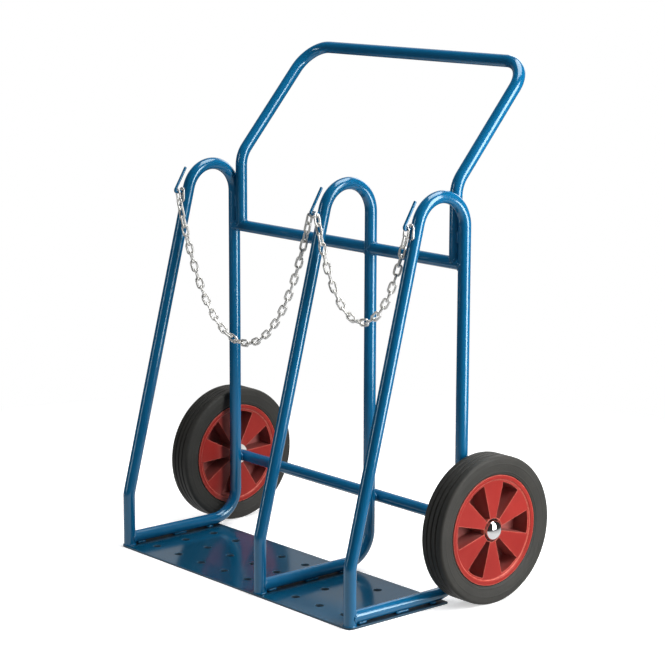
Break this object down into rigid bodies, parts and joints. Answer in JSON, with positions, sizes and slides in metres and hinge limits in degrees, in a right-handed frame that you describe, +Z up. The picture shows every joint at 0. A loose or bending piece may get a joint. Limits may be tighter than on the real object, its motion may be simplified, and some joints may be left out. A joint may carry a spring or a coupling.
{
  "type": "gas cylinder cart",
  "caption": "Two-bay gas cylinder cart: bent tube hoops on a perforated base plate, push handle, spoked wheels on a through axle and a retaining chain on hooks.",
  "frame": {"origin": "on the floor under the base plate, midway between the outer hoops and midway between the hoops' feet and rear legs", "axes": "+X to the side with the narrow bay, +Y to the rear where the wheels and handle are, +Z up"},
  "size_m": [0.8762, 0.516, 1.0684],
  "materials": {
    "blue_paint": "gloss blue paint",
    "red_plastic": "moulded, satin gloss",
    "black_rubber": "matt moulded rubber",
    "bright_zinc": "bright zinc plate",
    "plain_steel": "plain turned steel",
    "black_nylon": "plain moulded nylon",
    "chrome": "polished"
  },
  "bodies": {
    "frame": {"base_plate": "blue_paint", "hoop_left": "blue_paint", "hoop_middle": "blue_paint", "hoop_right": "blue_paint", "crossbar_left": "blue_paint", "crossbar_right": "blue_paint", "push_handle": "blue_paint", "axle_tube": "blue_paint", "hook_left": "blue_paint", "hook_middle": "blue_paint", "hook_right": "blue_paint", "axle_rod": "plain_steel", "washer_inner_left": "bright_zinc", "washer_outer_left": "black_nylon", "axle_cap_left": "chrome", "washer_inner_right": "bright_zinc", "washer_outer_right": "black_nylon", "axle_cap_right": "chrome"},
    "wheel_left": {"wheel_centre_left": "red_plastic", "tyre_left": "black_rubber", "hub_bush_inner_left": "black_nylon", "hub_bush_outer_left": "black_nylon"},
    "wheel_right": {"wheel_centre_right": "red_plastic", "tyre_right": "black_rubber", "hub_bush_inner_right": "black_nylon", "hub_bush_outer_right": "black_nylon"},
    "chain": {"chain": "bright_zinc"}
  },
  "joints": [
    {"name": "wheel_left_spin", "type": "hinge", "parent": "frame", "child": "wheel_left", "pos_m": [-0.406, 0.1713, 0.15], "axis": [1, 0, 0], "continuous": true},
    {"name": "wheel_right_spin", "type": "hinge", "parent": "frame", "child": "wheel_right", "pos_m": [0.406, 0.1713, 0.15], "axis": [1, 0, 0], "continuous": true},
    {"name": "chain_swing", "type": "hinge", "parent": "frame", "child": "chain", "pos_m": [0.087, -0.00722, 0.7631], "axis": [1, 0, 0], "range_deg": [-25, 0]}
  ]
}
